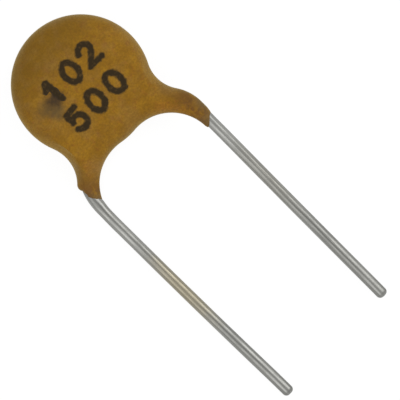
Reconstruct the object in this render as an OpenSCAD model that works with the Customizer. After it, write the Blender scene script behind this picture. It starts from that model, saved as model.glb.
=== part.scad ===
// Ceramic disc capacitor with two radial leads and a dipped resin coat.
//
// A fired ceramic disc carries a silver electrode on each face. The inner ends of two tinned
// wires cross over the disc, one on each face, and are soldered to the electrodes. The body is
// then dipped in resin, leads downwards, so that the resin runs a little way along both wires.
//
// Frame of the part: it lies on z = 0 on its coat and its two lead tips, marked face up, with
// the leads towards -Y. The plan shapes are worked in the disc's own frame, with its centre
// at [0, 0], and what belongs to one lead is worked with that lead on the +X side.

/* [Ceramic disc] */
// Diameter of the ceramic disc
ceramic_d = 6.8; // [6.2:0.1:7.1]
// Thickness of the ceramic disc
ceramic_t = 0.6; // [0.4:0.05:0.8]
// Bare margin of ceramic around each electrode
electrode_margin = 0.3; // [0.15:0.05:0.8]
// Thickness of each fired silver electrode
electrode_t = 0.02; // [0.01:0.005:0.03]

/* [Leads] */
// Lead spacing at the end of the coat
lead_pitch = 7.5; // [7.1:0.1:7.9]
// Diameter of the lead wire
lead_d = 0.64; // [0.5:0.02:0.7]
// Sideways offset of the disc from the middle between the leads
disc_offset = 0.24; // [0.06:0.02:0.4]
// Angle at which the inner ends cross under and over the disc
cross_angle = 45; // [44:0.5:47]
// Angle by which the left lead leans towards the right one
left_toe_in = 0.6; // [0:0.05:1.5]
// Angle by which the right lead leans towards the left one
right_toe_in = 0.45; // [0:0.05:1.5]
// Distance from the disc's centre down to the left lead's tip
lead_reach = 19.66; // [14:0.01:30]
// Length by which the right lead is cut shorter than the left one
right_shortfall = 0.12; // [0:0.01:1]
// Bend radius of the left lead, at the wire's axis
left_bend_r = 3.5; // [2.5:0.1:4]
// Bend radius of the right lead, at the wire's axis
right_bend_r = 3.6; // [3:0.1:4]
// Distance by which the left lead's inner end passes below the disc's centre
left_miss = 0.1; // [0.05:0.05:0.3]
// Distance by which the right lead's inner end passes below the disc's centre
right_miss = 0.6; // [0.45:0.05:0.7]
// Length of each inner end past the point nearest the disc's centre
inner_end = 1.1; // [0.4:0.1:1.8]
// Radius that rounds the cut tip of each lead
tip_r = 0.24; // [0.05:0.01:0.28]

/* [Solder] */
// Diameter of each solder mound where it wets the electrode
solder_d = 3.2; // [2:0.1:5]
// Solder over the top of the wire
solder_cover = 0.06; // [0.03:0.01:0.12]
// Solder film between the wire and the electrode
solder_film = 0.03; // [0.02:0.01:0.06]

/* [Resin coat] */
// Coat around the rim of the ceramic disc
coat_rim = 0.37; // [0.3:0.01:0.52]
// Coat over the wires at the middle of the disc
coat_face = 0.28; // [0.22:0.02:0.5]
// Fall of each coated face from the middle of the disc to its rim
coat_crown = 0.14; // [0.05:0.01:0.2]
// Width over which the coated edge rounds off
coat_edge = 1.15; // [0.8:0.05:1.4]
// Coat above and below the wire on the two legs of the coat
leg_wall = 0.07; // [0.04:0.01:0.15]

/* [Left leg of the coat] */
// Radius of the hollow between the disc and the outside of the left leg
left_waist_r = 2.16; // [1.7:0.02:2.6]
// Radius of the resin bead on the outside of the left leg
left_shoulder_r = 0.34; // [0.25:0.01:0.5]
// Distance from the lead's axis out to the resin bead
left_shoulder_out = 0.08; // [0.04:0.01:0.16]
// Distance from the disc's coated rim down to the middle of the resin bead
left_shoulder_drop = 0.14; // [0:0.01:0.22]
// Angle past its widest point at which the resin bead ends
left_shoulder_end = 45; // [30:1:60]
// Length of coat that runs straight down the lead below the resin bead
left_run = 0.66; // [0.3:0.02:0.8]
// Radius of the arch between the disc and the inside of the left leg
left_arch_r = 2.68; // [2.4:0.02:2.9]
// Distance from the lead's axis in to the arch, if it ran on to be upright
left_arch_in = 0.15; // [0.1:0.01:0.3]
// Distance from the disc's coated rim down to the inner end of the left leg's coat
left_inner_drop = 1.54; // [1.3:0.02:1.8]

/* [Right leg of the coat] */
// Radius of the hollow between the disc and the outside of the right leg
right_waist_r = 1.94; // [1.5:0.02:2.4]
// Radius of the shoulder on the outside of the right leg
right_shoulder_r = 2.53; // [2.2:0.01:2.8]
// Distance from the lead's axis out to the shoulder
right_shoulder_out = 0.39; // [0.36:0.01:0.5]
// Distance from the disc's coated rim down to the middle of the shoulder
right_shoulder_drop = 1.41; // [1.2:0.01:1.6]
// Length of coat that runs straight down the lead below the shoulder
right_run = 0.94; // [0.5:0.02:1.2]
// Radius of the arch between the disc and the inside of the right leg
right_arch_r = 2.6; // [2.3:0.02:2.7]
// Distance from the lead's axis in to the arch where it is upright
right_arch_in = 0.4; // [0.36:0.01:0.5]
// Distance from the disc's coated rim down to the inner end of the right leg's coat
right_inner_drop = 2.82; // [2.5:0.02:3]

/* [Hidden] */
$fn = 64;

// Facets of the coat: stations along each leg and round the disc, steps over each face
LEG_STATIONS = 18;
DISC_STATIONS = 48;
FACE_STEPS = 16;
ARC_STEPS = 24;
// The coat has the disc's thickness until this far past its rim, and the leg's thickness from
// this far short of the leg's end
DISC_REACH = 0.1;
LEG_REACH = 0.6;

LEFT = 0;
RIGHT = 1;
SIDE_SIGN = [-1, 1];       // the X side of each lead
FACE_SIGN = [-1, 1];       // the left lead lies on the rear face, the right one on the front

lead_r = lead_d / 2;
face_z = ceramic_t / 2 + electrode_t;
wire_z = face_z + solder_film + lead_r;
rim_r = ceramic_d / 2 + coat_rim;
coat_half = wire_z + lead_r + coat_face;
leg_half = lead_r + leg_wall;

reach = [lead_reach, lead_reach - right_shortfall];
toe_in = [left_toe_in, right_toe_in];
bend_r = [left_bend_r, right_bend_r];
miss = [left_miss, right_miss];
lead_x = [lead_pitch / 2 + disc_offset, lead_pitch / 2 - disc_offset];

waist_r = [left_waist_r, right_waist_r];
shoulder_r = [left_shoulder_r, right_shoulder_r];
shoulder_out = [left_shoulder_out, right_shoulder_out];
shoulder_y = -[rim_r + left_shoulder_drop, rim_r + right_shoulder_drop];
shoulder_end = [left_shoulder_end, 0];
run = [left_run, right_run];
arch_r = [left_arch_r, right_arch_r];
arch_in = [left_arch_in, right_arch_in];
inner_y = -[rim_r + left_inner_drop, rim_r + right_inner_drop];

// The arch's share that belongs to a leg; the rest of it bounds the disc
FAN_ANGLE = 55;

// ---------------------------------------------------------------- small plan geometry

function unit(v) = v / norm(v);
function polar(a) = [cos(a), sin(a)];
function angle_of(v) = atan2(v.y, v.x);
function mid(a, b) = (a + b) / 2;
function flat(v) = [v.x, v.y];
function quarter_turn(v) = [-v.y, v.x];
function clamp(x, low, high) = min(max(x, low), high);
function smooth(t) = let (u = clamp(t, 0, 1)) u * u * (3 - 2 * u);
function mirrored(path, side) = [for (p = path) [SIDE_SIGN[side] * p.x, p.y]];
function reversed(list) = [for (i = [len(list) - 1:-1:0]) list[i]];

function arc(centre, r, from, to) =
    [for (i = [0:ARC_STEPS]) centre + r * polar(from + (to - from) * i / ARC_STEPS)];

// Lengths from the start of a path to each of its points
function lengths(path) =
    [for (i = 0, s = 0; i < len(path); i = i + 1,
          s = i < len(path) ? s + norm(path[i] - path[i - 1]) : s) s];

// A path's points again, at count + 1 equal steps along it
function even_steps(path, count) =
    let (
        s = lengths(path),
        xs = [for (i = [0:len(path) - 1]) [s[i], path[i].x]],
        ys = [for (i = [0:len(path) - 1]) [s[i], path[i].y]],
        total = s[len(s) - 1]
    )
    [for (i = [0:count]) [lookup(total * i / count, xs), lookup(total * i / count, ys)]];

// Where the line through p along u meets the line through q along v
function crossing(p, u, q, v) =
    p + u * ((q.x - p.x) * v.y - (q.y - p.y) * v.x) / (u.x * v.y - u.y * v.x);

// Centre of the circle of radius r that touches the rim of the disc and the circle about b
function hollow_centre(r, b, b_r) =
    let (
        from_disc = rim_r + r,
        along = (pow(from_disc, 2) - pow(b_r + r, 2) + b * b) / (2 * norm(b)),
        aside = sqrt(pow(from_disc, 2) - along * along)
    )
    unit(b) * along + quarter_turn(unit(b)) * aside;

// ---------------------------------------------------------------- route of a lead

// The inner end runs down and outwards over the disc; the leg leans in towards the tip
inner_dir = [cos(cross_angle), -sin(cross_angle)];
leg_dir = [for (a = toe_in) [-sin(a), -cos(a)]];
nearest = [for (m = miss) -m * [sin(cross_angle), cos(cross_angle)]];
coat_end_y = inner_y[RIGHT];

function leg_top(side) = [lead_x[side], coat_end_y];
function corner_plan(side) = crossing(nearest[side], inner_dir, leg_top(side), leg_dir[side]);
function tip_plan(side) =
    leg_top(side) + leg_dir[side] * (reach[side] + coat_end_y) / cos(toe_in[side]);

// Each wire starts on its own face of the disc and ends in the plane of the disc's middle
corner = [for (s = [LEFT, RIGHT]) concat(corner_plan(s), FACE_SIGN[s] * wire_z)];
tip = [for (s = [LEFT, RIGHT]) concat(tip_plan(s), 0)];
start = [for (s = [LEFT, RIGHT])
    concat(nearest[s] - inner_dir * inner_end, FACE_SIGN[s] * wire_z)];

function bend_angle(side) =
    let (u = unit(corner[side] - start[side]), v = unit(tip[side] - corner[side]))
    acos(u * v);
function setback(side) = bend_r[side] * tan(bend_angle(side) / 2);

// The bend seen in plan: its centre, and the height of the wire's axis at a plan point
bend_centre = [for (s = [LEFT, RIGHT])
    flat(corner[s]) - inner_dir * setback(s) - bend_r[s] * [sin(cross_angle), cos(cross_angle)]];
function axis_z(side, p) =
    corner[side].z * clamp((p.y - tip[side].y) / (corner[side].y - tip[side].y), 0, 1);

// How far a plan point outside the wire lies from the wire's axis
function from_axis(side, p) =
    let (q = p - bend_centre[side], a = angle_of(q))
    a > 90 - cross_angle ? (p - nearest[side]) * [sin(cross_angle), cos(cross_angle)]
        : a > 0 ? norm(q) - bend_r[side]
        : (p - leg_top(side)) * [cos(toe_in[side]), -sin(toe_in[side])];

// ---------------------------------------------------------------- outline of the coat

shoulder_centre = [for (s = [LEFT, RIGHT])
    [lead_x[s] + shoulder_out[s] - shoulder_r[s], shoulder_y[s]]];
waist_centre = [for (s = [LEFT, RIGHT])
    hollow_centre(waist_r[s], shoulder_centre[s], shoulder_r[s])];
arch_centre = [for (s = [LEFT, RIGHT])
    let (x = lead_x[s] - arch_in[s] - arch_r[s])
    [x, -sqrt(pow(rim_r + arch_r[s], 2) - x * x)]];

// Outside of a leg, from the coat's end up to the rim of the disc
function leg_outside(side) =
    let (
        waist = waist_centre[side],
        top = angle_of(waist - shoulder_centre[side]),
        bead = arc(shoulder_centre[side], shoulder_r[side], -shoulder_end[side], top)
    )
    concat(
        [bead[0] - [0, run[side]]],
        bead,
        arc(waist, waist_r[side], top + 180, angle_of(-waist))
    );

// Inside of a leg, from the coat's end up to where the disc's share of the arch begins
function leg_inside(side) =
    let (
        centre = arch_centre[side],
        rise = (inner_y[side] - centre.y) / arch_r[side],
        upright = centre + [arch_r[side], 0]
    )
    concat(
        rise < 0 ? [[upright.x, inner_y[side]]] : [],
        arc(centre, arch_r[side], rise > 0 ? asin(rise) : 0, FAN_ANGLE)
    );

// The disc's share of the arch, from the right leg to the left one
function disc_inside() =
    let (
        right = arc(arch_centre[RIGHT], arch_r[RIGHT], FAN_ANGLE, angle_of(-arch_centre[RIGHT])),
        left = arc(arch_centre[LEFT], arch_r[LEFT], FAN_ANGLE, angle_of(-arch_centre[LEFT])),
        right_foot = angle_of(arch_centre[RIGHT]),
        left_foot = -180 - angle_of(arch_centre[LEFT])
    )
    concat(right, arc([0, 0], rim_r, right_foot, left_foot), reversed(mirrored(left, LEFT)));

disc_outside = arc([0, 0], rim_r, angle_of(waist_centre[RIGHT]),
                   180 - angle_of(waist_centre[LEFT]));

// Both edges of the coat, from the end of the right leg over the disc to that of the left
function whole_edge(right, disc, left) =
    concat(
        even_steps(right, LEG_STATIONS),
        [for (i = [1:DISC_STATIONS - 1]) even_steps(disc, DISC_STATIONS)[i]],
        reversed(mirrored(even_steps(left, LEG_STATIONS), LEFT))
    );
outer_edge = whole_edge(leg_outside(RIGHT), disc_outside, leg_outside(LEFT));
inner_edge = whole_edge(leg_inside(RIGHT), disc_inside(), leg_inside(LEFT));
LAST = len(outer_edge) - 1;

// ---------------------------------------------------------------- surface of the coat

// 0 over the disc and a little past its rim, 1 towards the end of a leg
thins_from = rim_r + DISC_REACH;
thins_to = [norm(outer_edge[LAST]) - LEG_REACH, norm(outer_edge[0]) - LEG_REACH];
function leg_share(side, p) = smooth((norm(p) - thins_from) / (thins_to[side] - thins_from));
function side_of(i) = i < LAST / 2 ? RIGHT : LEFT;
function own_frame(i, p) = [SIDE_SIGN[side_of(i)] * p.x, p.y];

// Direction across an edge at station i, turned into the coat
function inward(edge, i, hand) =
    let (along = edge[min(i + 1, LAST)] - edge[max(i - 1, 0)])
    hand * unit(quarter_turn(along));

// A section leaves both edges squarely, so it is a cubic curve in plan
function section_plan(i, w) =
    let (
        a = inner_edge[i],
        b = outer_edge[i],
        third = norm(b - a) / 3,
        end = i == 0 || i == LAST,
        a2 = end ? a + (b - a) / 3 : a + inward(inner_edge, i, -1) * third,
        b2 = end ? b + (a - b) / 3 : b + inward(outer_edge, i, 1) * third,
        v = 1 - w
    )
    v * v * v * a + 3 * v * v * w * a2 + 3 * v * w * w * b2 + w * w * w * b;

// Quarter of an ellipse: 0 at the edge, level from 1 on
function rounded(t) = sqrt(1 - pow(1 - clamp(t, 0, 1), 2));

// The coat's half thickness on the disc, which falls a little towards the rim
function crowned(p) = coat_half - coat_crown * pow(min(norm(p) / rim_r, 1), 2);

// Height of the coat at a plan point of station i, on the upper (1) or lower (-1) face
function coat_z(i, p, w, face) =
    let (
        side = side_of(i),
        width = norm(outer_edge[i] - inner_edge[i]),
        outer_round = min(coat_edge, from_axis(side, own_frame(i, outer_edge[i])), width / 2 + lead_r),
        inner_round = min(coat_edge, width - outer_round),
        profile = rounded(w * width / inner_round) * rounded((1 - w) * width / outer_round),
        share = leg_share(side, p),
        level = share * axis_z(side, own_frame(i, p)),
        half = share * leg_half + (1 - share) * crowned(p)
    )
    level + face * half * profile;

// A section's points: over the upper face from the inner edge, and back under the lower one
function ring(i) =
    concat(
        [for (j = [0:FACE_STEPS]) ring_point(i, j, 1)],
        [for (j = [FACE_STEPS - 1:-1:1]) ring_point(i, j, -1)]
    );
function ring_point(i, j, face) =
    let (w = (1 - cos(180 * j / FACE_STEPS)) / 2, p = section_plan(i, w))
    concat(p, coat_z(i, p, w, face));

// The sections at each end are drawn in until the last one lies inside the wire, so that the
// coat tapers off to a thin lip
LIP = [0.5, 0.9];
function drawn_in(i) =
    let (
        from_end = min(i, LAST - i),
        share = from_end < len(LIP) ? LIP[from_end] : 1,
        heart = mid(inner_edge[i], outer_edge[i]),
        centre = concat(heart, axis_z(side_of(i), own_frame(i, heart)))
    )
    [for (p = ring(i)) centre + (p - centre) * share];

RING = 2 * FACE_STEPS;
coat_points = [for (i = [0:LAST]) each drawn_in(i)];
coat_faces = concat(
    [[for (j = [0:RING - 1]) j]],
    [for (i = [0:LAST - 1], j = [0:RING - 1], half = [0, 1])
        let (a = i * RING + j, b = i * RING + (j + 1) % RING)
        half == 0 ? [a, a + RING, b] : [b, a + RING, b + RING]],
    [[for (j = [RING - 1:-1:0]) LAST * RING + j]]
);

// ---------------------------------------------------------------- rest on a surface

// The part leans on its lead tips and on the lowest point that the coat offers
function lean_from(p, foot) = atan2(foot.z - p.z, p.y - foot.y);
foot = [0, mid(tip[LEFT], tip[RIGHT]).y + tip_r, -lead_r];
lean = max([for (p = coat_points) lean_from(p, foot)]);
middle_x = (lead_x[RIGHT] + shoulder_out[RIGHT] - lead_x[LEFT] - lead_r) / 2;
middle_y = (rim_r - lead_reach) / 2 * cos(lean);

module resting() {
    translate([-middle_x, -middle_y, -foot.y * sin(lean) - foot.z * cos(lean)])
        rotate([lean, 0, 0])
            children();
}

// ---------------------------------------------------------------- shapes, in the disc's frame

module ceramic() {
    cylinder(d = ceramic_d, h = ceramic_t, center = true);
}

module silver(face) {
    translate([0, 0, face > 0 ? ceramic_t / 2 : -face_z])
        cylinder(d = ceramic_d - 2 * electrode_margin, h = electrode_t);
}

// A cap of solder that wets the electrode and just covers the wire's inner end
module solder_mound(side) {
    height = solder_film + lead_d + solder_cover;
    ball_r = (pow(solder_d / 2, 2) + height * height) / (2 * height);
    place = [SIDE_SIGN[side] * nearest[side].x, nearest[side].y, face_z];
    mirror([0, 0, FACE_SIGN[side] > 0 ? 0 : 1])
        translate(place)
            intersection() {
                translate([0, 0, height - ball_r]) sphere(ball_r);
                cylinder(r = ball_r, h = height + solder_cover);
            }
}

// A wire made in the plane of its bend: the inner end, the bend and the leg with its tip.
// Bending draws the wire a hair thinner, and the straight stretches lap a little over the bend
BEND_THINNING = 0.004;
BEND_LAP = 0.05;
module formed_wire(inner_length, r, angle, leg_length) {
    translate([r, -inner_length, 0])
        rotate([-90, 0, 0])
            cylinder(r = lead_r, h = inner_length + BEND_LAP);
    rotate_extrude(angle = angle)
        translate([r, 0])
            circle(lead_r - BEND_THINNING);
    rotate([0, 0, angle])
        translate([r, -BEND_LAP, 0])
            rotate([-90, 0, 0])
                rounded_rod(leg_length + BEND_LAP);
}

module rounded_rod(length) {
    rotate_extrude() {
        square([lead_r, length - tip_r]);
        square([lead_r - tip_r, length]);
        translate([lead_r - tip_r, length - tip_r])
            intersection() {
                circle(tip_r);
                square(tip_r);
            }
    }
}

// Columns of the matrix that stands the bend's plane up between the two straight stretches
module wire(side) {
    u = unit(corner[side] - start[side]);
    v = unit(tip[side] - corner[side]);
    angle = bend_angle(side);
    x_axis = (cos(angle) * u - v) / sin(angle);
    z_axis = cross(x_axis, u);
    centre = corner[side] - u * setback(side) - x_axis * bend_r[side];
    inner_length = norm(corner[side] - start[side]) - setback(side);
    leg_length = norm(tip[side] - corner[side]) - setback(side);
    mirror([side == LEFT ? 1 : 0, 0, 0])
        multmatrix([for (k = [0:2]) [x_axis[k], u[k], z_axis[k], centre[k]]])
            formed_wire(inner_length, bend_r[side], angle, leg_length);
}

module solder(side) {
    difference() {
        solder_mound(side);
        wire(side);
    }
}

// The dipped resin, hollow where the parts inside it lie
module resin() {
    difference() {
        polyhedron(coat_points, coat_faces);
        ceramic();
        silver(-1);
        silver(1);
        solder_mound(LEFT);
        solder_mound(RIGHT);
        wire(LEFT);
        wire(RIGHT);
    }
}

// ---------------------------------------------------------------- sub-parts

module dielectric_disc() color("linen") resting() ceramic();

module front_electrode() color("silver") resting() silver(1);

module rear_electrode() color("silver") resting() silver(-1);

module front_solder() color("gainsboro") resting() solder(RIGHT);

module rear_solder() color("gainsboro") resting() solder(LEFT);

module left_lead() color("lightgray") resting() wire(LEFT);

module right_lead() color("lightgray") resting() wire(RIGHT);

module resin_coat() color("darkgoldenrod") resting() resin();

dielectric_disc();
front_electrode();
rear_electrode();
front_solder();
rear_solder();
left_lead();
right_lead();
resin_coat();
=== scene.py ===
from math import asin, cos, degrees, exp, pi, radians, sin, sqrt, tan

import bmesh
import bpy
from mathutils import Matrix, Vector, noise
from mathutils.bvhtree import BVHTree


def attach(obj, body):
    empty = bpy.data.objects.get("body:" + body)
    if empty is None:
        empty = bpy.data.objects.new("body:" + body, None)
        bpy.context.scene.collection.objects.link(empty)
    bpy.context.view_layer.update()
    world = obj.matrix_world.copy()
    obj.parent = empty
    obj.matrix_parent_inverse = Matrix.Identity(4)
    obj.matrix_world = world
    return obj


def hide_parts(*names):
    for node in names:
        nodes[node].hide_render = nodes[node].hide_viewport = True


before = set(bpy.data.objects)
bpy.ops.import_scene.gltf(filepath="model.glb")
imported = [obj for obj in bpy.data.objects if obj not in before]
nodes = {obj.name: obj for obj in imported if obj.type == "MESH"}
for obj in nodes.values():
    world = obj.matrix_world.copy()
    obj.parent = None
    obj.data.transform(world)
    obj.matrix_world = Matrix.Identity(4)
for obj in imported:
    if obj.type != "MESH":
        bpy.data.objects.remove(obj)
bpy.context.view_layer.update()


# ---------------------------------------------------------------- ceramic disc
# The insulator: a thin disc of barium titanate, pressed from powder and fired. It is a dense,
# cream-coloured ceramic with a dry, slightly grainy face, and the resin hides all of it.

CREAM = (221, 208, 182)
CREAM_DARK = (199, 184, 156)


def tone(colour):
    """A colour for a shader, from its red, green and blue out of 255."""
    return [(c / 3294.6 if c < 10.3 else ((c / 255 + 0.055) / 1.055) ** 2.4) for c in colour] + [1]


def put(finish, kind, sockets, **settings):
    """Adds one shader node, with its sockets set to values or joined to other nodes."""
    made = finish.node_tree.nodes.new(kind)
    for name, value in settings.items():
        setattr(made, name, value)
    for name, value in sockets.items():
        if isinstance(value, bpy.types.NodeSocket):
            finish.node_tree.links.new(value, made.inputs[name])
        else:
            made.inputs[name].default_value = value
    return made


def new_finish(name, roughness, metallic=0.0):
    finish = bpy.data.materials.new(name)
    finish.use_nodes = True
    surface = finish.node_tree.nodes["Principled BSDF"]
    surface.inputs["Roughness"].default_value = roughness
    surface.inputs["Metallic"].default_value = metallic
    return finish, surface


def place_on(finish):
    return put(finish, "ShaderNodeTexCoord", {}).outputs["Object"]


def cloud(finish, place, scale, detail=3.0, roughness=0.6):
    """Soft noise from 0 to 1; scale is in clouds per metre."""
    sockets = {"Vector": place, "Scale": scale, "Detail": detail, "Roughness": roughness}
    return put(finish, "ShaderNodeTexNoise", sockets).outputs["Fac"]


def spread(finish, value, low, high, to_low=0.0, to_high=1.0):
    """Carries low..high over to to_low..to_high, smoothly and held at both ends."""
    sockets = {"Value": value, "From Min": low, "From Max": high}
    sockets.update({"To Min": to_low, "To Max": to_high})
    made = put(finish, "ShaderNodeMapRange", sockets, interpolation_type="SMOOTHSTEP")
    return made.outputs["Result"]


def blended(finish, amount, under, over):
    made = put(finish, "ShaderNodeMix", {0: amount, 6: under, 7: over}, data_type="RGBA")
    return made.outputs[2]


def worked(finish, kind, first, second=0.0):
    """A sum, product or other plain arithmetic of two values."""
    return put(finish, "ShaderNodeMath", {0: first, 1: second}, operation=kind).outputs["Value"]


def join(finish, value, surface, socket):
    finish.node_tree.links.new(value, surface.inputs[socket])


def relief(finish, surface, height, distance, strength=1.0):
    sockets = {"Height": height, "Distance": distance, "Strength": strength}
    join(finish, put(finish, "ShaderNodeBump", sockets).outputs["Normal"], surface, "Normal")


def cover(node_name, finish):
    slots = nodes[node_name].data.materials
    slots.clear()
    slots.append(finish)


fired_ceramic, surface = new_finish("fired_ceramic", 0.75)
place = place_on(fired_ceramic)
grain = cloud(fired_ceramic, place, 9000)
colour = blended(fired_ceramic, grain, tone(CREAM), tone(CREAM_DARK))
join(fired_ceramic, colour, surface, "Base Color")
relief(fired_ceramic, surface, grain, 0.000004)
cover("dielectric_disc", fired_ceramic)


# ---------------------------------------------------------------- silver electrodes
# One thin coat of silver paste is screened on each face of the disc and fired on. It is pale
# and matt, with the weave of the screen just left in it.

SILVER_PALE = (214, 212, 206)
SILVER_GREY = (176, 174, 170)

fired_silver, surface = new_finish("fired_silver", 0.45, metallic=0.9)
place = place_on(fired_silver)
weave = cloud(fired_silver, place, 14000, detail=1.0)
colour = blended(fired_silver, weave, tone(SILVER_PALE), tone(SILVER_GREY))
join(fired_silver, colour, surface, "Base Color")
relief(fired_silver, surface, weave, 0.000003)
cover("front_electrode", fired_silver)
cover("rear_electrode", fired_silver)


# ---------------------------------------------------------------- solder
# A low mound of solder holds the inner end of each wire to its electrode. It has set bright,
# with faint grey frosting where it cooled last.

SOLDER_BRIGHT = (196, 196, 194)
SOLDER_FROST = (150, 150, 150)

set_solder, surface = new_finish("set_solder", 0.3, metallic=1.0)
place = place_on(set_solder)
frost = cloud(set_solder, place, 2500)
colour = blended(set_solder, frost, tone(SOLDER_BRIGHT), tone(SOLDER_FROST))
join(set_solder, colour, surface, "Base Color")
join(set_solder, spread(set_solder, frost, 0.4, 0.7, 0.25, 0.5), surface, "Roughness")
cover("front_solder", set_solder)
cover("rear_solder", set_solder)


# ---------------------------------------------------------------- tinned wires
# Two drawn wires, tinned by dipping, each bent once where it leaves the disc: the left one
# over the rear face, the right one over the front. Drawing and tinning leave streaks, faint
# grooves and lumps, rounded tips, and a little tin gathered in the left wire's bend.

LEFT, RIGHT = 0, 1
SIDE = (-1, 1)                      # the X side of each wire, and the face that it crosses
LEAN = radians(3.01322)             # the capacitor leans on its coat and its wire tips
DISC_CENTRE = Vector((0.205, 7.93402, 1.33724))

WIRE_R = 0.32
WIRE_Z = 0.67                       # how far the crossing ends lie above or below the disc's middle
WIRE_X = (3.99, 3.51)
WIRE_BEND = (3.5, 3.6)
WIRE_MISS = (0.1, 0.6)
WIRE_TOE_IN = (radians(0.6), radians(0.45))
WIRE_REACH = (19.66, 19.54)
LEG_TOP = -6.59
INNER_END = 1.1
TIP_ROUND = 0.24
TIP_FLAT = 0.03                     # radius of the flat that is left on a rounded tip
WIRE_BOW = (0.028, -0.012)          # how far each leg bends outwards, about half-way along
BOW_FROM, BOW_OVER = 0.12, 0.8      # and where, as shares of the leg's length
DRAWN_UNDER = 0.003                 # how far a wire is drawn under its size
GROOVES = (0.004, 0.007)            # how deep drawing has marked each wire
LUMPS = 0.004                       # how deep the tinning's hollows go
STREAKS = (0.8, 1)                  # and how strongly its streaks show
DULL_BELOW = (0.55, 0.5)            # how much of each is dull, rather than bright
GATHERED = (0.06, 0)                # how deep tin has gathered in the hollow of each bend
GATHERED_AT = -5.2
GATHERED_RUN = 0.4
SPRUNG = (-0.03, 0)                 # how far each bend has sprung inwards, and where it is most
SPRUNG_AT = -5.5
SPRUNG_RUN = 0.8
DIAGONAL = sqrt(0.5)
END_SHARES = (0.3, 0.6, 0.9)        # rings that close the hidden end of a wire
INNER_STEPS, BEND_STEPS, LEG_STEPS, TIP_STEPS = 12, 28, 220, 8
AROUND = 96


def lay_down(p):
    """Metres in the part's frame, from millimetres about the middle of the flat disc."""
    y = p[1] * cos(LEAN) - p[2] * sin(LEAN)
    z = p[1] * sin(LEAN) + p[2] * cos(LEAN)
    return (Vector((p[0], y, z)) + DISC_CENTRE) * 0.001


def smooth_piece(name, points, faces, finish):
    """A smooth mesh, laid down with the part, that rides on its one body."""
    mesh = bpy.data.meshes.new(name)
    shape = bmesh.new()
    corners = [shape.verts.new(lay_down(p)) for p in points]
    for face in faces:
        shape.faces.new([corners[k] for k in face]).smooth = True
    bmesh.ops.recalc_face_normals(shape, faces=shape.faces)
    shape.to_mesh(mesh)
    shape.free()
    mesh.materials.append(finish)
    piece = bpy.data.objects.new(name, mesh)
    bpy.context.scene.collection.objects.link(piece)
    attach(piece, "root")
    return piece


def wire_corner(side):
    """Where the two straight stretches of a wire would meet, worked on the +X side."""
    slope = tan(WIRE_TOE_IN[side])
    y = (-WIRE_MISS[side] * sqrt(2) - WIRE_X[side] + slope * LEG_TOP) / (1 + slope)
    return Vector((WIRE_X[side] + slope * (y - LEG_TOP), y, SIDE[side] * WIRE_Z))


def wire_route(side):
    """Points along a wire's axis, each with its direction, worked on the +X side."""
    miss = WIRE_MISS[side]
    corner = wire_corner(side)
    beyond = tan(WIRE_TOE_IN[side]) * (WIRE_REACH[side] + LEG_TOP)
    tip = Vector((WIRE_X[side] - beyond, -WIRE_REACH[side], 0))
    u = Vector((DIAGONAL, -DIAGONAL, 0))
    start = Vector((-miss * DIAGONAL, -miss * DIAGONAL, SIDE[side] * WIRE_Z)) - u * INNER_END
    v = (tip - corner).normalized()
    angle = u.angle(v)
    setback = WIRE_BEND[side] * tan(angle / 2)
    inwards = (v - v.dot(u) * u).normalized()
    centre = corner - u * setback + inwards * WIRE_BEND[side]
    inner = (corner - start).length - setback
    leg = (tip - corner).length - setback - TIP_ROUND
    route = [(start + u * inner * i / INNER_STEPS, u) for i in range(INNER_STEPS)]
    for i in range(BEND_STEPS):
        a = angle * i / BEND_STEPS
        radial = u * sin(a) - inwards * cos(a)
        route.append((centre + radial * WIRE_BEND[side], u * cos(a) + inwards * sin(a)))
    for i in range(LEG_STEPS + 1):
        share = min(max(i / LEG_STEPS - BOW_FROM, 0) / BOW_OVER, 1)
        bow = Vector((WIRE_BOW[side] * sin(pi * share), 0, 0))
        route.append((corner + v * (setback + leg * i / LEG_STEPS) + bow, v))
    for p, along in route:
        p.x += SPRUNG[side] * exp(-((p.y - SPRUNG_AT) / SPRUNG_RUN) ** 2)
    return route, u.cross(v).normalized()


def wire_mesh(side):
    route, level = wire_route(side)
    points, faces = [], []

    def ring(middle, along, r, gone):
        across = along.cross(level)
        near_bend = exp(-((middle.y - GATHERED_AT) / GATHERED_RUN) ** 2)
        for k in range(AROUND):
            a = 2 * pi * k / AROUND
            draw = noise.noise(Vector((2.6 * cos(a) + 9 * side, 2.6 * sin(a), gone * 0.06)))
            lump = noise.noise(Vector((0.9 * cos(a), 0.9 * sin(a) + 5 * side, gone * 0.5)))
            sunk = max(DRAWN_UNDER + GROOVES[side] * draw + LUMPS * lump, 0)
            full = GATHERED[side] * max(-sin(a), 0) * near_bend
            p = middle + (level * cos(a) + across * sin(a)) * (r * (1 - sunk / WIRE_R) + full)
            points.append((SIDE[side] * p.x, p.y, p.z))

    gone = 0
    first, along = route[0]
    for share in END_SHARES:
        ring(first, along, WIRE_R * share, gone)
    for i, (middle, along) in enumerate(route):
        gone += (middle - route[max(i - 1, 0)][0]).length
        ring(middle, along, WIRE_R, gone)
    last, along = route[-1]
    for k in range(1, TIP_STEPS + 1):
        a = radians(90) * k / TIP_STEPS
        ring(last + along * TIP_ROUND * sin(a), along, WIRE_R - TIP_ROUND * (1 - cos(a)), gone)
    ring(last + along * TIP_ROUND, along, TIP_FLAT, gone)
    for start in range(0, len(points) - AROUND, AROUND):
        for k in range(AROUND):
            beside = (k + 1) % AROUND
            faces.append((start + k, start + beside, start + AROUND + beside, start + AROUND + k))
    faces.append(tuple(range(AROUND)))
    faces.append(tuple(range(len(points) - AROUND, len(points))))
    return points, faces


TIN_BRIGHT = (161, 161, 157)
TIN_MID = (139, 139, 135)
TIN_DARK = (115, 115, 111)
TIN_WARM = (146, 139, 120)
TIN_EDGE = (230, 230, 228)
WARM_AT = (0.0077, 0.0087)          # how far from each tip the tinning has gone yellowish
WARM_SHARE = (0.9, 0.12)


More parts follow.
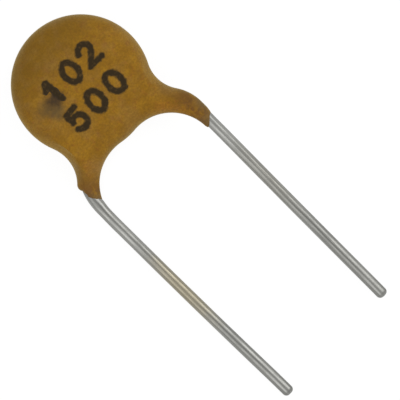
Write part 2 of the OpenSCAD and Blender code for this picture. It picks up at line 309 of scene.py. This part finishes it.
def tinned_finish(side):
    finish, surface = new_finish(("left", "right")[side] + "_tinned_wire", 0.4, metallic=1.0)
    surface.inputs["Specular Tint"].default_value = tone(TIN_EDGE)
    route, level = wire_route(side)
    tip = route[-1][0]
    along = route[-1][1]
    foot = lay_down((SIDE[side] * tip.x, tip.y, tip.z))
    far = tip - along
    run = (foot - lay_down((SIDE[side] * far.x, far.y, far.z))).normalized()
    across = run.cross(Vector((0, 0, 1))).normalized()
    above = across.cross(run)
    place = place_on(finish)
    sockets = {0: place, 1: foot}
    from_tip = put(finish, "ShaderNodeVectorMath", sockets, operation="SUBTRACT").outputs[0]

    def measured(direction):
        sockets = {0: from_tip, 1: direction}
        made = put(finish, "ShaderNodeVectorMath", sockets, operation="DOT_PRODUCT")
        return made.outputs["Value"]

    x, y, z = measured(across), measured(run), measured(above)
    long_y = worked(finish, "MULTIPLY", y, 0.03)
    drawn = put(finish, "ShaderNodeCombineXYZ", {0: x, 1: long_y, 2: z}).outputs[0]
    streak = cloud(finish, drawn, 9000, detail=3.0)
    band = cloud(finish, drawn, 3200, detail=1.0)
    lump = cloud(finish, place, 1600, detail=1.0)
    half_streak = worked(finish, "MULTIPLY", streak, 0.5)
    half_band = worked(finish, "MULTIPLY", band, 0.5)
    shade = worked(finish, "ADD", half_streak, half_band)
    dark = spread(finish, shade, 0.36, DULL_BELOW[side], STREAKS[side], 0.0)
    colour = blended(finish, dark, tone(TIN_MID), tone(TIN_DARK))
    bright = spread(finish, shade, 0.5, 0.66, 0.0, STREAKS[side])
    colour = blended(finish, bright, colour, tone(TIN_BRIGHT))
    off = worked(finish, "ABSOLUTE", worked(finish, "ADD", y, WARM_AT[side]))
    ragged = worked(finish, "MULTIPLY", cloud(finish, place, 900, detail=1.0), 0.002)
    off = worked(finish, "ADD", off, ragged)
    warm = spread(finish, off, 0.0014, 0.0044, WARM_SHARE[side], 0.0)
    colour = blended(finish, warm, colour, tone(TIN_WARM))
    join(finish, colour, surface, "Base Color")
    join(finish, spread(finish, lump, 0.35, 0.7, 0.36, 0.44), surface, "Roughness")
    relief(finish, surface, streak, 0.00001)
    return finish


for side, name, node_name in (LEFT, "left_wire", "left_lead"), (RIGHT, "right_wire", "right_lead"):
    points, faces = wire_mesh(side)
    wire = smooth_piece(name, points, faces, tinned_finish(side))
    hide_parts(node_name)


# ---------------------------------------------------------------- resin coat
# A phenolic coat: the part is held by its wires, dipped disc first in liquid resin, and baked.
# The resin runs from the disc on to both wires, thick over the disc and thin along the legs,
# and it dries matt and a little uneven, darker where it is thin.

RIM_R = 3.77
COAT_HALF = 1.27                    # half its thickness at the middle of the disc
CROWN = 0.14                        # how much lower each face is at the rim
EDGE = 1.15                         # how far in from an edge its rounding reaches, at most
LEG_HALF = 0.39
WAIST_R = (2.16, 1.94)
SHOULDER_R = (0.34, 2.53)
SHOULDER_OUT = (0.08, 0.39)         # how far each shoulder stands outside its wire's axis
SHOULDER_Y = (-3.91, -5.18)
SHOULDER_END = (35, 0)              # where each shoulder's arc stops, in degrees below level
RUN = (Vector((0.1, -0.27)), Vector((0, -0.94)))    # from there to the end of the leg
ARCH_R = (2.68, 2.6)
ARCH_IN = (0.15, 0.4)               # how far each arch stands inside its wire's axis
INNER_Y = (-5.27, -6.59)            # where the coat ends on the inner side of each leg
FAN = 55                            # degrees round an arch, where a leg's sections give way
SIDES = (LEFT, RIGHT)
SHOULDER_X = [WIRE_X[side] + SHOULDER_OUT[side] - SHOULDER_R[side] for side in SIDES]
SHOULDER = [Vector((SHOULDER_X[side], SHOULDER_Y[side])) for side in SIDES]
ARCH_X = [WIRE_X[side] - ARCH_IN[side] - ARCH_R[side] for side in SIDES]
ARC_STEPS = 60
LEG_STATIONS = 54
DISC_STATIONS = 144
FACE_STEPS = 32


def polar(r, turn):
    return Vector((r * cos(radians(turn)), r * sin(radians(turn))))


def bearing(v):
    return Vector((1, 0)).angle_signed(v) * -180 / pi


def arc(middle, r, start, end):
    turns = [start + (end - start) * i / ARC_STEPS for i in range(ARC_STEPS + 1)]
    return [middle + polar(r, turn) for turn in turns]


def hollow_centre(side):
    """Centre of the hollow that joins the rim of the disc to the shoulder of the leg."""
    b = SHOULDER[side]
    to_rim = RIM_R + WAIST_R[side]
    to_shoulder = SHOULDER_R[side] + WAIST_R[side]
    along = (to_rim ** 2 - to_shoulder ** 2 + b.length_squared) / (2 * b.length)
    aside = sqrt(to_rim ** 2 - along ** 2)
    unit = b.normalized()
    return unit * along + Vector((-unit.y, unit.x)) * aside


def arch_centre(side):
    return Vector((ARCH_X[side], -sqrt((RIM_R + ARCH_R[side]) ** 2 - ARCH_X[side] ** 2)))


def leg_outside(side):
    waist = hollow_centre(side)
    top = bearing(waist - SHOULDER[side])
    bead = arc(SHOULDER[side], SHOULDER_R[side], -SHOULDER_END[side], top)
    hollow = arc(waist, WAIST_R[side], top + 180, bearing(-waist))
    return [bead[0] + RUN[side]] + bead + hollow


def leg_inside(side):
    middle = arch_centre(side)
    rise = (INNER_Y[side] - middle.y) / ARCH_R[side]
    foot = [] if rise > 0 else [Vector((middle.x + ARCH_R[side], INNER_Y[side]))]
    return foot + arc(middle, ARCH_R[side], degrees(asin(rise)) if rise > 0 else 0, FAN)


def mirrored(path):
    return [Vector((-p.x, p.y)) for p in path]


def disc_inside():
    ends = [arch_centre(side) for side in SIDES]
    right = arc(ends[RIGHT], ARCH_R[RIGHT], FAN, bearing(-ends[RIGHT]))
    left = arc(ends[LEFT], ARCH_R[LEFT], FAN, bearing(-ends[LEFT]))
    under = arc(Vector((0, 0)), RIM_R, bearing(ends[RIGHT]), -180 - bearing(ends[LEFT]))
    return right + under + mirrored(left)[::-1]


def disc_outside():
    ends = [bearing(hollow_centre(side)) for side in SIDES]
    return arc(Vector((0, 0)), RIM_R, ends[RIGHT], 180 - ends[LEFT])


def even_steps(path, count):
    gone = [0]
    for a, b in zip(path, path[1:]):
        gone.append(gone[-1] + (b - a).length)
    steps, k = [], 0
    for i in range(count + 1):
        want = gone[-1] * i / count
        while k < len(path) - 2 and gone[k + 1] < want:
            k += 1
        share = (want - gone[k]) / max(gone[k + 1] - gone[k], 1e-9)
        steps.append(path[k].lerp(path[k + 1], min(share, 1)))
    return steps


def whole_edge(right, disc, left):
    middle = even_steps(disc, DISC_STATIONS)[1:-1]
    left_leg = mirrored(even_steps(left, LEG_STATIONS))
    return even_steps(right, LEG_STATIONS) + middle + left_leg[::-1]


outer = whole_edge(leg_outside(RIGHT), disc_outside(), leg_outside(LEFT))
inner = whole_edge(leg_inside(RIGHT), disc_inside(), leg_inside(LEFT))
LAST = len(outer) - 1


def smooth_step(t):
    t = min(max(t, 0), 1)
    return t * t * (3 - 2 * t)


def squarely(edge, i, hand):
    """Direction across an edge, into the coat."""
    along = edge[min(i + 1, LAST)] - edge[max(i - 1, 0)]
    return Vector((-along.y, along.x)).normalized() * hand


def section_plan(i, w):
    a, b = inner[i], outer[i]
    third = (b - a).length / 3
    at_end = i in (0, LAST)
    a2 = a + (b - a) / 3 if at_end else a + squarely(inner, i, -1) * third
    b2 = b + (a - b) / 3 if at_end else b + squarely(outer, i, 1) * third
    v = 1 - w
    return v ** 3 * a + 3 * v * v * w * a2 + 3 * v * w * w * b2 + w ** 3 * b


def rounded(t):
    return sqrt(1 - (1 - min(max(t, 0), 1)) ** 2)


def axis_height(side, p):
    share = (p.y + WIRE_REACH[side]) / (wire_corner(side).y + WIRE_REACH[side])
    return SIDE[side] * WIRE_Z * min(max(share, 0), 1)


def from_axis(side, p):
    """How far a point outside a wire lies from the wire's axis, seen in plan."""
    toe_in = WIRE_TOE_IN[side]
    v = Vector((-sin(toe_in), -cos(toe_in)))
    u = Vector((DIAGONAL, -DIAGONAL))
    square = Vector((DIAGONAL, DIAGONAL))
    angle = u.angle(v)
    setback = WIRE_BEND[side] * tan(angle / 2)
    middle = wire_corner(side).to_2d() - u * setback - square * WIRE_BEND[side]
    q = p - middle
    a = bearing(q)
    if a > 45:
        return (p + WIRE_MISS[side] * square).dot(square)
    if a > 0:
        return q.length - WIRE_BEND[side]
    leg_top = Vector((WIRE_X[side], LEG_TOP))
    return (p - leg_top).dot(Vector((cos(toe_in), -sin(toe_in))))


# The coat has the disc's thickness until this far past its rim, and the leg's from this far
# short of the leg's end
DISC_REACH = 0.1
LEG_REACH = (0.32, 0.6)
thins_from = RIM_R + DISC_REACH
thins_to = [outer[LAST].length - LEG_REACH[LEFT], outer[0].length - LEG_REACH[RIGHT]]


def coat_height(i, p, w, face):
    side = RIGHT if i < LAST / 2 else LEFT
    width = (outer[i] - inner[i]).length
    own = Vector((SIDE[side] * outer[i].x, outer[i].y))
    outer_round = min(EDGE, from_axis(side, own), width / 2 + WIRE_R)
    inner_round = min(EDGE, width - outer_round)
    profile = rounded(w * width / inner_round) * rounded((1 - w) * width / outer_round)
    share = smooth_step((p.length - thins_from) / (thins_to[side] - thins_from))
    level = share * axis_height(side, Vector((SIDE[side] * p.x, p.y)))
    crowned = COAT_HALF - CROWN * min(p.length / RIM_R, 1) ** 2
    return level + face * (share * LEG_HALF + (1 - share) * crowned) * profile


# Shares of the way from the inner to the outer edge of the coat: over the top, and back under
OVER = [(1 - cos(pi * j / FACE_STEPS)) / 2 for j in range(FACE_STEPS + 1)]
UNDER = OVER[-2:0:-1]


def coat_ring(i):
    ring = []
    for face, shares in (1, OVER), (-1, UNDER):
        for w in shares:
            p = section_plan(i, w)
            ring.append(Vector((p.x, p.y, coat_height(i, p, w, face))))
    return ring


def drawn_in(i, share):
    """A section near the end of a leg, drawn in towards the wire to close the coat on it."""
    side = RIGHT if i < LAST / 2 else LEFT
    middle = (inner[i] + outer[i]) / 2
    height = axis_height(side, Vector((SIDE[side] * middle.x, middle.y)))
    heart = Vector((middle.x, middle.y, height))
    return [heart + (p - heart) * share for p in coat_ring(i)]


RING = 2 * FACE_STEPS
LIP = ((0.85, 0.97, 1), (0.5, 0.9, 1))      # what each leg's first sections are drawn in to
LIP_STEPS = 3
SAG = 0.012                                 # how far the coat sags, as a share of its height
coat_points = []
for i in range(LAST + 1):
    lips = LIP[RIGHT if i < LAST / 2 else LEFT]
    k, past = divmod(min(i, LAST - i), LIP_STEPS)
    lip = lips[k] + (lips[k + 1] - lips[k]) * past / LIP_STEPS if k < len(lips) - 1 else 1
    coat_points += drawn_in(i, lip)
for p in coat_points:
    sag = noise.noise(Vector((p.x * 0.7, p.y * 0.7, p.z))) + 0.5 * noise.noise(p * 2.3)
    p.z *= 1 - SAG * max(0.5 + sag, 0)
coat_faces = [tuple(range(RING)), tuple(range(LAST * RING, LAST * RING + RING))]
for i in range(LAST):
    for j in range(RING):
        a, b = i * RING + j, i * RING + (j + 1) % RING
        coat_faces.append((a, b, b + RING, a + RING))

GOLD = (150, 108, 25)
OCHRE = (136, 96, 22)
RUST = (130, 78, 30)
# painted shade, laid over the coat towards the edge away from the wires
PAINTED_SHADE = (108, 78, 18)
SPECK = (96, 70, 20)
BLOOM = (140, 112, 70)
# olive of the thin coat on its rim, made lighter as painted light against the edge's shade
RIM_OLIVE_AND_PAINTED_LIGHT = (142, 122, 62)
DUSTY = (255, 236, 180)
LEG_BROWN = (103, 66, 34)
LEG_INNER = (166, 108, 36)
LEG_OUTER = (104, 72, 34)
LEG_END = (104, 86, 58)
SMUDGE_GREY = (76, 66, 46)
SMUDGE_INK = (56, 45, 34)
THIN_AT = ((3.55, -6.35), (4.0, -5.3), (-3.8, -5.05))       # where the coat runs out on the legs
HAZE_AT = ((-2.33, 0.42), (-2.0, 0.0), (-1.85, -0.3))       # where ink has hazed the marked face
SMEAR_AT = ((-1.73, 0.48), (-1.42, 0.37))                   # and where it is smeared thick


def flat_place(finish):
    """Shader position in millimetres about the middle of the disc."""
    sockets = {0: place_on(finish), 1: DISC_CENTRE * 0.001}
    laid = put(finish, "ShaderNodeVectorMath", sockets, operation="SUBTRACT").outputs[0]
    sockets = {0: laid, 1: (1000, 1000, 1000)}
    return put(finish, "ShaderNodeVectorMath", sockets, operation="MULTIPLY").outputs[0]


def facing(finish):
    """Direction that the surface faces, in the part's frame."""
    return put(finish, "ShaderNodeTexCoord", {}).outputs["Normal"]


def away_from(finish, place, spot):
    """Distance from a spot in plan, in millimetres, on either face and at any height."""
    sockets = {0: place, 1: (1, 1, 0)}
    level = put(finish, "ShaderNodeVectorMath", sockets, operation="MULTIPLY").outputs[0]
    sockets = {0: level, 1: (spot[0], spot[1], 0)}
    return put(finish, "ShaderNodeVectorMath", sockets, operation="DISTANCE").outputs["Value"]


def near_spot(finish, place, spot, rough):
    """Distance from a spot, with its outline broken up by a noise."""
    away = away_from(finish, place, spot)
    return worked(finish, "ADD", away, worked(finish, "MULTIPLY", rough, 0.6))


baked_resin, surface = new_finish("baked_resin", 0.7)
surface.inputs["Specular IOR Level"].default_value = 0.1
surface.inputs["Sheen Weight"].default_value = 0.4
surface.inputs["Sheen Roughness"].default_value = 0.3
surface.inputs["Sheen Tint"].default_value = tone(DUSTY)
place = flat_place(baked_resin)

# Mottled ochre and gold with reddish flecks, and painted shade towards the edge away from the wires
pool = cloud(baked_resin, place, 0.35, detail=1.0)
mottle = cloud(baked_resin, place, 1.3, detail=4.0, roughness=0.65)
fleck = cloud(baked_resin, place, 3.4, detail=3.0, roughness=0.65)
grain = cloud(baked_resin, place, 8.5, detail=2.0, roughness=0.7)
colour = blended(baked_resin, spread(baked_resin, mottle, 0.36, 0.64), tone(OCHRE), tone(GOLD))
red = spread(baked_resin, fleck, 0.5, 0.72, 0.0, 0.5)
colour = blended(baked_resin, red, colour, tone(RUST))
sockets = {0: place, 1: (-0.1, 0.98, 0)}
up = put(baked_resin, "ShaderNodeVectorMath", sockets, operation="DOT_PRODUCT").outputs["Value"]
up = worked(baked_resin, "ADD", up, worked(baked_resin, "MULTIPLY", pool, 1.2))
painted_shade_amount = spread(baked_resin, up, 1.0, 3.6, 0.0, 0.64)
colour = blended(baked_resin, painted_shade_amount, colour, tone(PAINTED_SHADE))

# Browner in patches on the legs, paler inside them, darker outside, greyed where it runs out
out = away_from(baked_resin, place, (0, 0))
on_leg = spread(baked_resin, worked(baked_resin, "ADD", out, mottle), 5.15, 6.4)
patch = worked(baked_resin, "ADD", mottle, worked(baked_resin, "MULTIPLY", fleck, 0.4))
patch = spread(baked_resin, patch, 0.6, 0.8, 0.9, 0.1)
brown = worked(baked_resin, "MULTIPLY", on_leg, patch)
colour = blended(baked_resin, brown, colour, tone(LEG_BROWN))
outward = put(baked_resin, "ShaderNodeAttribute", {}, attribute_name="outward").outputs["Fac"]
outward = worked(baked_resin, "ADD", outward, worked(baked_resin, "MULTIPLY", mottle, 0.3))
aside = put(baked_resin, "ShaderNodeSeparateXYZ", {0: place}).outputs["X"]
outward = worked(baked_resin, "ADD", outward, worked(baked_resin, "MULTIPLY", aside, 0.03))
past_rim = spread(baked_resin, out, 3.9, 4.5, 0.0, 0.42)
pale = worked(baked_resin, "MULTIPLY", past_rim, spread(baked_resin, outward, 0.35, 0.6, 1.0, 0.0))
down = worked(baked_resin, "SUBTRACT", out, worked(baked_resin, "MULTIPLY", aside, 0.15))
pale = worked(baked_resin, "MULTIPLY", pale, spread(baked_resin, down, 4.8, 6.0, 1.0, 0.1))
colour = blended(baked_resin, pale, colour, tone(LEG_INNER))
dark = worked(baked_resin, "MULTIPLY", past_rim, spread(baked_resin, outward, 0.6, 0.9))
colour = blended(baked_resin, dark, colour, tone(LEG_OUTER))
for end in THIN_AT:
    thin = spread(baked_resin, near_spot(baked_resin, place, end, mottle), 0.4, 1.1, 0.8, 0.0)
    colour = blended(baked_resin, thin, colour, tone(LEG_END))

# Olive on the rounded edge, lightened there as painted light, with a faint bloom and darker specks
tilt = put(baked_resin, "ShaderNodeSeparateXYZ", {0: facing(baked_resin)}).outputs["Z"]
olive_and_painted_light = spread(baked_resin, worked(baked_resin, "ABSOLUTE", tilt), 0.1, 0.8, 0.48, 0.0)
colour = blended(baked_resin, olive_and_painted_light, colour, tone(RIM_OLIVE_AND_PAINTED_LIGHT))
bloom = cloud(baked_resin, place, 0.9, detail=3.0)
colour = blended(baked_resin, spread(baked_resin, bloom, 0.42, 0.7, 0.0, 0.22), colour, tone(BLOOM))
speck = spread(baked_resin, grain, 0.3, 0.7, 0.0, 0.4)
colour = blended(baked_resin, speck, colour, tone(SPECK))

# Ink smudged beside the numbers, on the marked face alone
marked_face = spread(baked_resin, tilt, 0.0, 0.3)
for spot in HAZE_AT:
    haze = spread(baked_resin, near_spot(baked_resin, place, spot, mottle), 0.4, 1.0, 0.45, 0.0)
    haze = worked(baked_resin, "MULTIPLY", haze, marked_face)
    colour = blended(baked_resin, haze, colour, tone(SMUDGE_GREY))
for spot in SMEAR_AT:
    smear = spread(baked_resin, near_spot(baked_resin, place, spot, fleck), 0.36, 0.9, 0.8, 0.0)
    smear = worked(baked_resin, "MULTIPLY", smear, marked_face)
    colour = blended(baked_resin, smear, colour, tone(SMUDGE_INK))

join(baked_resin, colour, surface, "Base Color")
uneven = worked(baked_resin, "ADD", worked(baked_resin, "MULTIPLY", mottle, 3.0), grain)
relief(baked_resin, surface, uneven, 0.000006)

coat = smooth_piece("dipped_coat", coat_points, coat_faces, baked_resin)
outward_share = coat.data.attributes.new("outward", "FLOAT", "POINT")
outward_share.data.foreach_set("value", (OVER + UNDER) * (LAST + 1))
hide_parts("resin_coat")


# ---------------------------------------------------------------- marking
# Two rows of plain numbers, stamped on the coat in dark brown ink with a soft rubber stamp.
# The ink film is thin and has swelled a little at the edges.

STROKE = 0.2                        # half the width of a stroke
SWELL = 0.05                        # how far the ink has swelled or drawn back at its edges
STAMP_STEP = 0.04
NUMERAL_HALF = (0.84, 0.92)         # half the width and height of the field of one numeral
ZERO, ONE, TWO, FIVE = range(4)


def bow(middle, reach, start, end, count=24):
    """Part of an upright ellipse, as the stamp's round strokes are cut."""
    turns = [radians(start + (end - start) * i / count) for i in range(count + 1)]
    return [(middle[0] + reach[0] * cos(a), middle[1] + reach[1] * sin(a)) for a in turns]


NUMERALS = {
    ZERO: [bow((0, 0), (0.4, 0.6), 0, 360, 32)],
    ONE: [[(-0.26, 0.3), (0.05, 0.6), (0.05, -0.6)]],
    TWO: [bow((-0.02, 0.24), (0.38, 0.36), 165, -35) + [(-0.4, -0.58), (0.44, -0.58)]],
    FIVE: [[(0.36, 0.6), (-0.26, 0.6), (-0.32, 0.06)] + bow((-0.02, -0.18), (0.4, 0.4), 125, -155)],
}
# Each numeral with its place, and its turn in degrees
ROWS = [
    [(ONE, -1.32, 0.84, 4), (ZERO, 0.08, 0.9, -3), (TWO, 1.42, 0.94, 3)],
    [(FIVE, -1.44, -1.15, 4), (ZERO, -0.05, -1.13, -2), (ZERO, 1.36, -1.12, 3)],
]


def beside_line(p, a, b):
    """Distance from a point to a straight stroke."""
    run = (b[0] - a[0], b[1] - a[1])
    size = run[0] ** 2 + run[1] ** 2
    t = ((p[0] - a[0]) * run[0] + (p[1] - a[1]) * run[1]) / size
    t = min(max(t, 0), 1)
    return Vector((a[0] + run[0] * t - p[0], a[1] + run[1] * t - p[1])).length


def inked(strokes, p):
    """Above 0 where the stamp has left ink."""
    near = min(beside_line(p, a, b) for line in strokes for a, b in zip(line, line[1:]))
    swell = SWELL * noise.noise(Vector((p[0] * 3, p[1] * 3, 0)))
    swell += SWELL * noise.noise(Vector((p[0] * 7, p[1] * 7, 3)))
    return STROKE + swell - near


def stamp_outline(strokes, middle, step, half_x, half_y):
    """Faces that fill the inked part of one numeral, and how far each point is from its edge."""
    columns, rows = round(2 * half_x / step), round(2 * half_y / step)
    start = (middle[0] - half_x, middle[1] - half_y)
    level = {}
    for i in range(columns + 1):
        for j in range(rows + 1):
            level[i, j] = inked(strokes, (start[0] + i * step, start[1] + j * step))
    points, depths, faces, known = [], [], [], {}

    def point(key, x, y, depth):
        if key not in known:
            known[key] = len(points)
            points.append((start[0] + x * step, start[1] + y * step))
            depths.append(depth)
        return known[key]

    for i in range(columns):
        for j in range(rows):
            corners = [(i, j), (i + 1, j), (i + 1, j + 1), (i, j + 1)]
            face = []
            for a, b in zip(corners, corners[1:] + corners[:1]):
                if level[a] > 0:
                    face.append(point(a, *a, level[a]))
                if (level[a] > 0) != (level[b] > 0):
                    t = level[a] / (level[a] - level[b])
                    key = (min(a, b), max(a, b))
                    x = a[0] + (b[0] - a[0]) * t
                    y = a[1] + (b[1] - a[1]) * t
                    face.append(point(key, x, y, 0))
            if len(face) > 2:
                faces.append(face)
    return points, depths, faces


def turned(line, x, y, turn):
    """A stroke of a numeral, turned a little and moved to its place."""
    c, s = cos(radians(turn)), sin(radians(turn))
    return [(x + c * p[0] - s * p[1], y + s * p[0] + c * p[1]) for p in line]


coat_face = BVHTree.FromPolygons(coat_points, coat_faces)
ABOVE_COAT = 5
INK_STANDS = 0.006                  # height of the film above the coat
FILM_DEPTH = 0.00002                # its thickness, in metres
ink_points, ink_depths, ink_faces = [], [], []
for numeral, x, y, turn in ROWS[0] + ROWS[1]:
    strokes = [turned(line, x, y, turn) for line in NUMERALS[numeral]]
    points, depths, faces = stamp_outline(strokes, (x, y), STAMP_STEP, *NUMERAL_HALF)
    first = len(ink_points)
    for p in points:
        hit = coat_face.ray_cast(Vector((p[0], p[1], ABOVE_COAT)), Vector((0, 0, -1)))[0]
        ink_points.append((p[0], p[1], hit.z + INK_STANDS))
    ink_depths += depths
    ink_faces += [[first + k for k in face] for face in faces]

INK_BROWN = (48, 37, 20)
INK_THIN = (70, 54, 28)
INK_EDGE = (112, 82, 30)

stamp_ink, surface = new_finish("stamp_ink", 0.7)
surface.inputs["Specular IOR Level"].default_value = 0.1
place = flat_place(stamp_ink)
film = cloud(stamp_ink, place, 5.0, detail=3.0)
colour = blended(stamp_ink, spread(stamp_ink, film, 0.5, 0.75), tone(INK_BROWN), tone(INK_THIN))
depth = put(stamp_ink, "ShaderNodeAttribute", {}, attribute_name="depth").outputs["Fac"]
smeared = spread(stamp_ink, away_from(stamp_ink, place, (-1.5, 0.5)), 0.45, 0.8, 1.0, 0.0)
edge = blended(stamp_ink, smeared, tone(INK_EDGE), tone(SMUDGE_INK))
colour = blended(stamp_ink, spread(stamp_ink, depth, 0.0, 0.08), edge, colour)
join(stamp_ink, colour, surface, "Base Color")
marking = smooth_piece("stamped_numbers", ink_points, ink_faces, stamp_ink)
marking.data.attributes.new("depth", "FLOAT", "POINT").data.foreach_set("value", ink_depths)
film_depth = marking.modifiers.new("film_depth", "SOLIDIFY")
film_depth.thickness = FILM_DEPTH
film_depth.offset = -1


# ---------------------------------------------------------------- table, lamps and camera
# A plain white table that the capacitor lies on, between two large soft lamps, seen from
# straight above. The table shows white and keeps a faint shadow.

TABLE_REACH = 1.5
SHADOW_SHARE = 0.12                 # how much of the table's own shade the view keeps
PAPER_GREY = (0.88, 0.88, 0.88, 1)
WHITE = (1, 1, 1, 1)
WHITE_LEVEL = 1.05                  # strength of the white that the table shows
STUDIO_LEVEL = 0.77

table_mesh = bpy.data.meshes.new("table")
corners = [(x * TABLE_REACH, y * TABLE_REACH, 0) for x, y in ((-1, -1), (1, -1), (1, 1), (-1, 1))]
table_mesh.from_pydata(corners, [], [(0, 1, 2, 3)])
table = bpy.data.objects.new("table", table_mesh)
bpy.context.scene.collection.objects.link(table)

paper, surface = new_finish("white_paper", 0.9)
paper.cycles.emission_sampling = "NONE"
surface.inputs["Base Color"].default_value = PAPER_GREY
surface.inputs["Specular IOR Level"].default_value = 0.1
rays = put(paper, "ShaderNodeLightPath", {}).outputs
seen = worked(paper, "MAXIMUM", rays["Is Camera Ray"], rays["Is Glossy Ray"])
seen = worked(paper, "MAXIMUM", seen, rays["Is Transmission Ray"])
sockets = {"Color": WHITE, "Strength": WHITE_LEVEL}
white = put(paper, "ShaderNodeEmission", sockets).outputs[0]
share = worked(paper, "MULTIPLY", seen, 1 - SHADOW_SHARE)
sockets = {0: share, 1: surface.outputs[0], 2: white}
shown = put(paper, "ShaderNodeMixShader", sockets).outputs[0]
join(paper, shown, paper.node_tree.nodes["Material Output"], "Surface")
table_mesh.materials.append(paper)

studio = bpy.data.worlds.new("studio")
bpy.context.scene.world = studio
studio.use_nodes = True
studio.node_tree.nodes["Background"].inputs["Color"].default_value = WHITE
studio.node_tree.nodes["Background"].inputs["Strength"].default_value = STUDIO_LEVEL


def soft_lamp(name, place, size, power):
    light = bpy.data.lights.new(name, "AREA")
    light.shape = "DISK"
    light.size = size
    light.energy = power
    made = bpy.data.objects.new(name, light)
    bpy.context.scene.collection.objects.link(made)
    made.location = place
    made.rotation_euler = (-Vector(place)).to_track_quat("-Z", "Y").to_euler()


soft_lamp("right_lamp", (0.28, 0.0, 0.24), 0.24, 0.42)
soft_lamp("left_lamp", (-0.25, 0.0, 0.3), 0.24, 0.24)

FIELD = 0.0214286                   # width of table in view
LENS = 1000
FILM = 36
CAMERA_OVER = (0.000295, -0.000945, 0.00134)        # the point that the camera looks down on
CAMERA_TURN = -45.257
camera = bpy.data.objects.new("camera", bpy.data.cameras.new("camera"))
bpy.context.scene.collection.objects.link(camera)
bpy.context.scene.camera = camera
camera.data.lens = LENS
camera.data.sensor_width = FILM
camera.data.clip_start = 0.01
camera.data.clip_end = 5
camera.location = (*CAMERA_OVER[:2], CAMERA_OVER[2] + FIELD * LENS / FILM)
camera.rotation_euler = (0, 0, radians(CAMERA_TURN))

bpy.context.scene.view_settings.view_transform = "Standard"
